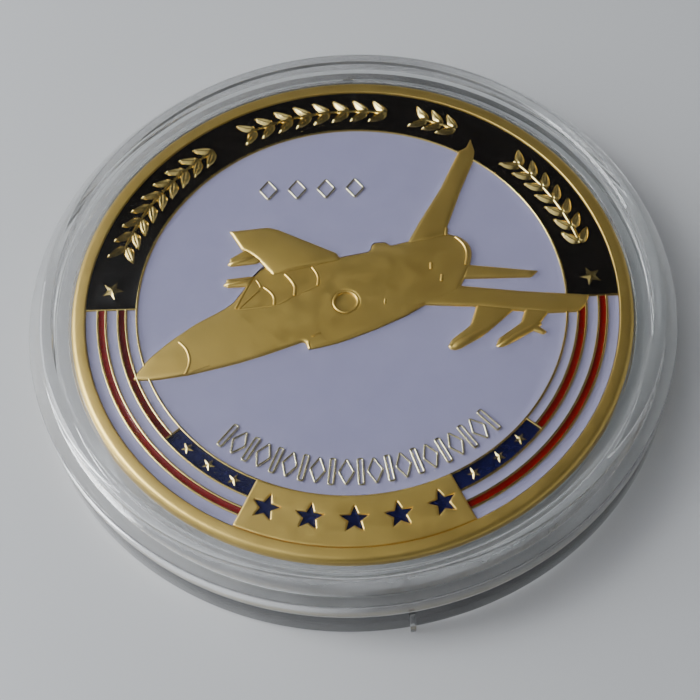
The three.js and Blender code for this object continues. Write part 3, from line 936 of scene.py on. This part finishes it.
def field_beads():
    """Each bead is a fill of white inside a fine struck line."""
    lines, beads = Shells(), Shells()
    top = meniscus(ENAMEL_TOP + 0.03, 0.02, 0.1)
    for corners in bead_outlines():
        outline = rounded(corners, 0.12)
        ridge(lines, dense(outline, 0.1), 0.14, RELIEF_FLOOR, ENAMEL_TOP + 0.13, closed=True)
        plate(beads, outline, CELL_FLOOR, top, [0.05, 0.1])
    lines.piece("field_bead_lines", GOLD_PALE, "coin", (), "struck_gold", sharp=60)
    beads.piece("field_beads", WHITE, "coin", (), "white_enamel", sharp=50)


def back_relief():
    """Struck work on the coin's back, built face up and turned over."""
    made = Shells()
    field, top = -(COIN_FOOT + BACK_DEPTH), -(COIN_FOOT + 0.05)
    floor = field - 0.1
    ridge(made, circle(14.7), 0.4, floor, top, closed=True)
    ridge(made, circle(18.3), 0.16, floor, top - 0.08, closed=True)
    cone_star(made, star((0, 0), 11.5, 90, 0.4), (0, 0), floor, field + 0.04, top)
    leaves, splay = 24, 24
    for i in range(leaves):
        angle = i * 360 / leaves
        heading = angle + 90 + (splay if i % 2 else -splay)
        leaf(made, polar(16.8, angle), heading, floor, top, 2.5, 1.3)
    made.points = [(-x, y, -z) for x, y, z in made.points]
    return made.piece("back_relief", GOLD_SATIN, "coin", (), "struck_gold", sharp=25)


# ---------- Coin: enamel ----------

AIRFRAME_OUTLINES = [rounded(FUSELAGE, FUSELAGE_ROUND)]
AIRFRAME_OUTLINES += [rounded(o, 0.15) for o in (FAR_WING, FIN, TAILPLANE, NEAR_WING)]
AIRFRAME_OUTLINES += [rounded(o, 0.2) for o in STORES]
INTO_WALL = WALL / 2 - 0.015  # a fill reaches this far from a wall's middle
PAST_END = 3  # how far a cut reaches past the band's straight end


def fills(outline, cuts, nodes, material, slot, rise=0.06, reach=0.3):
    """One fill of enamel for each node, matched to the patch that lies where the node does."""
    region = Region(outline, cuts)
    patches = region.parts()
    for node in nodes:
        lower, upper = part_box(node)
        middle = np.array([(lower[i] + upper[i]) / 2 / MM for i in range(2)])

        def offset(faces):
            corners = region.points[faces].reshape(-1, 2)
            return np.linalg.norm((corners.min(0) + corners.max(0)) / 2 - middle)

        patch = min(patches, key=offset)
        made = Shells()
        top = meniscus(ENAMEL_TOP, rise, reach)
        relief(made, region.points, patch, CELL_FLOOR, top, [0.04, 0.11, 0.22, 0.38])
        made.piece("fill_" + node, material, "coin", [node], slot, sharp=50)


def stripe_fills():
    radii = [RIM_INNER_R + WALL / 2, *STRIPE_WALLS, FIELD_R]
    names = ["white_outer", "red_outer", "white_middle", "red_inner", "white_inner"]
    every = list(frame["nodes"])
    for i, name in enumerate(names):
        start = PANEL_ANGLES[1] - 0.1 if i < 3 else CANTON_EDGE
        outline = slice_outline(radii[i + 1] + INTO_WALL, radii[i] - INTO_WALL, start, -0.3)
        level = BAND_END_Y - INTO_WALL
        above = [(-COIN_R, level), (COIN_R, level), (COIN_R, PAST_END), (-COIN_R, PAST_END)]
        colour = RED if name.startswith("red") else WHITE
        slot = "red_enamel" if name.startswith("red") else "white_enamel"
        for side in ("right", "left"):
            nodes = [n for n in every if n.startswith(f"stripe_{name}_{side}")]
            placed = outline if side == "right" else mirrored(outline)
            fills(placed, [above, *AIRFRAME_OUTLINES], nodes, colour, slot, 0.05, 0.2)


def canton_fills():
    start = PANEL_ANGLES[1] - 0.1
    right = slice_outline(FIELD_R + INTO_WALL, STRIPE_WALLS[2] - INTO_WALL, start, CANTON_EDGE)
    stars = [canton_star(a) for a in CANTON_STARS]
    left, left_stars = mirrored(right), [mirrored(s) for s in stars]
    fills(right, stars, ["canton_blue_right"], BLUE, "blue_enamel", 0.03, 0.12)
    fills(left, left_stars, ["canton_blue_left"], BLUE, "blue_enamel", 0.03, 0.12)


def band_fill():
    level = BAND_END_Y + INTO_WALL
    ends = (-BAND_OVERLAP, 180 + BAND_OVERLAP)
    outline = slice_outline(FIELD_R + INTO_WALL, RIM_INNER_R + 0.05, *ends)
    below = [(-COIN_R, -PAST_END), (COIN_R, -PAST_END), (COIN_R, level), (-COIN_R, level)]
    cuts = [below, *AIRFRAME_OUTLINES] + [band_star(a) for a in BAND_STARS]
    fills(outline, cuts, ["black_enamel_band"], BLACK, "black_enamel")


def star_fills():
    for i in range(5):
        made = Shells()
        plate(made, panel_star(i), CELL_FLOOR, meniscus(ENAMEL_TOP, 0.05, 0.15), [0.05, 0.12])
        node = f"star_enamel_{i + 1}"
        made.piece("fill_" + node, BLUE, "coin", [node], "blue_enamel", sharp=50)


def field_fills():
    nodes = ["white_enamel_upper_field", "white_enamel_tail_field", "white_enamel_lower_field"]
    fills(circle(FIELD_R - INTO_WALL), AIRFRAME_OUTLINES, nodes, WHITE, "white_enamel")


# ---------- Capsule ----------

RING_INNER_R = 20.15
RING_OUTER_R = 21.1
SKIRT_INNER_R = 21.15
FLOOR_TOP = COIN_FOOT - 0.05
WINDOW_UNDERSIDE = COIN_TOP + 0.17
CROWN_R = 21.5


def gate_mark(shells, angle, inner, outer, half_angle, lower, upper):
    """The stub left where the plastic entered the mould."""
    plan = slice_outline(inner, outer, angle - half_angle, angle + half_angle)
    plate(shells, plan, lower, shoulder(upper, 0.05, 0.06), [0.03, 0.06])


def capsule_base():
    corners = [
        (0, 0, 0), (CAPSULE_R, 0, 0.4), (CAPSULE_R, SEAM_Z - 0.04, 0.06),
        (RING_OUTER_R, SEAM_Z - 0.04, 0.05), (RING_OUTER_R, RING_TOP, 0.15),
        (RING_INNER_R, RING_TOP, 0.15), (RING_INNER_R, FLOOR_TOP, 0.1), (0, FLOOR_TOP, 0),
    ]
    made = turning(Shells(), corners)
    gate_mark(made, -81, CAPSULE_R - 0.02, CAPSULE_R + 0.3, 0.45, 0.1, SEAM_Z - 0.5)
    return made.piece("base_shell", ACRYLIC_BASE, "base", ["capsule_base"], "clear_acrylic", sharp=60)


def capsule_lid():
    window_top = CAPSULE_TOP - 0.15
    shoulder_round = 0.9
    corners = [
        (0, WINDOW_UNDERSIDE, 0), (SKIRT_INNER_R, WINDOW_UNDERSIDE, 0.12), (SKIRT_INNER_R, SEAM_Z, 0.05),
        (CAPSULE_R, SEAM_Z, 0.06), (CAPSULE_R, CAPSULE_TOP - 1.4, shoulder_round),
        (CROWN_R + 0.35, CAPSULE_TOP, shoulder_round), (21.15, CAPSULE_TOP, 0.12),
        (20.95, window_top, 0.08), (0, window_top, 0),
    ]
    made = turning(Shells(), corners)
    gate_mark(made, 89.7, 19.05, 19.45, 1.3, window_top - 0.02, window_top + 0.09)
    return made.piece("lid_shell", ACRYLIC_LID, "lid", ["capsule_lid"], "clear_acrylic", sharp=60)


# ---------- Stage ----------

def camera():
    """Stands where a fit to the photo puts its camera, about 107 mm from the middle of the coin."""
    data = bpy.data.cameras.new("camera")
    data.lens = 77.1
    data.sensor_width = 36
    data.clip_start = 0.005
    made = bpy.data.objects.new("camera", data)
    place = Vector((2.46, -57.02, 94.78)) * MM
    target = Vector((-0.13, -3.89, 4.45)) * MM
    aim = (target - place).to_track_quat("-Z", "Y")
    roll = Quaternion((0, 0, 1), math.radians(-4.135))
    made.matrix_world = Matrix.Translation(place) @ (aim @ roll).to_matrix().to_4x4()
    bpy.context.scene.collection.objects.link(made)
    bpy.context.scene.camera = made


def floor():
    """A plain pale sheet with a slight sheen."""
    n = Surface("floor")
    n.set(Base_Color=(0.7, 0.71, 0.72, 1), Roughness=0.4, Metallic=0.1)
    n.bump([(n.noise(3000, 3), 0.1, 0.02 * MM)])
    mesh = bpy.data.meshes.new("floor")
    size, level = 3, -0.04 * MM  # just under the foot
    corners = [(-size, -size, level), (size, -size, level), (size, size, level), (-size, size, level)]
    mesh.from_pydata(corners, [], [(0, 1, 2, 3)])
    mesh.materials.append(n.material)
    made = bpy.data.objects.new("floor", mesh)
    bpy.context.scene.collection.objects.link(made)


def softbox(name, place, target, size, power, colour):
    data = bpy.data.lights.new(name, "AREA")
    data.shape = "RECTANGLE"
    data.size, data.size_y = size
    data.energy = power
    data.color = colour
    made = bpy.data.objects.new(name, data)
    made.location = place
    made.rotation_euler = (Vector(target) - Vector(place)).to_track_quat("-Z", "Y").to_euler()
    bpy.context.scene.collection.objects.link(made)


def world():
    """A dim room: brighter up on the lamp's side, with pale walls to the left and right."""
    made = bpy.data.worlds.new("world")
    made.use_nodes = True
    n = Nodes(made.node_tree, "Generated")
    lamp = Vector((-0.8, -0.15, 0.6)).normalized()
    dim, bright = (0.03, 0.03, 0.03), (1.0, 1.04, 1.1)
    lamp_side = n.ramp(n.vector("DOT_PRODUCT", n.place, lamp)["Value"], [(0.55, dim), (0.95, bright)])
    split = n.add("ShaderNodeSeparateXYZ")
    n.link(n.place, split.inputs[0])
    across = split.outputs["X"]
    low_down = n.ramp(split.outputs["Z"], [(0.0, (1.3, 1.33, 1.36)), (0.55, (0, 0, 0))])
    walls = n.vector("MULTIPLY", low_down, n.scalar("MULTIPLY", across, across))["Vector"]
    both = n.vector("ADD", lamp_side, walls)["Vector"]
    n.link(both, n.tree.nodes["Background"].inputs["Color"])
    bpy.context.scene.world = made


camera()
floor()
world()
softbox("key", (-0.46, 0.06, 0.42), (0, 0, 0), (0.24, 0.3), 2.7, (0.95, 0.97, 1.0))
softbox("side", (-0.16, 0.03, 0.06), (0, 0, 0), (0.14, 0.06), 0.16, (0.95, 0.98, 1.0))

coin_blank()
back_relief()
cell_walls()
bottom_panel()
aircraft()
aircraft_lines()
ornaments()
field_beads()
field_fills()
band_fill()
stripe_fills()
canton_fills()
star_fills()
capsule_base()
capsule_lid()
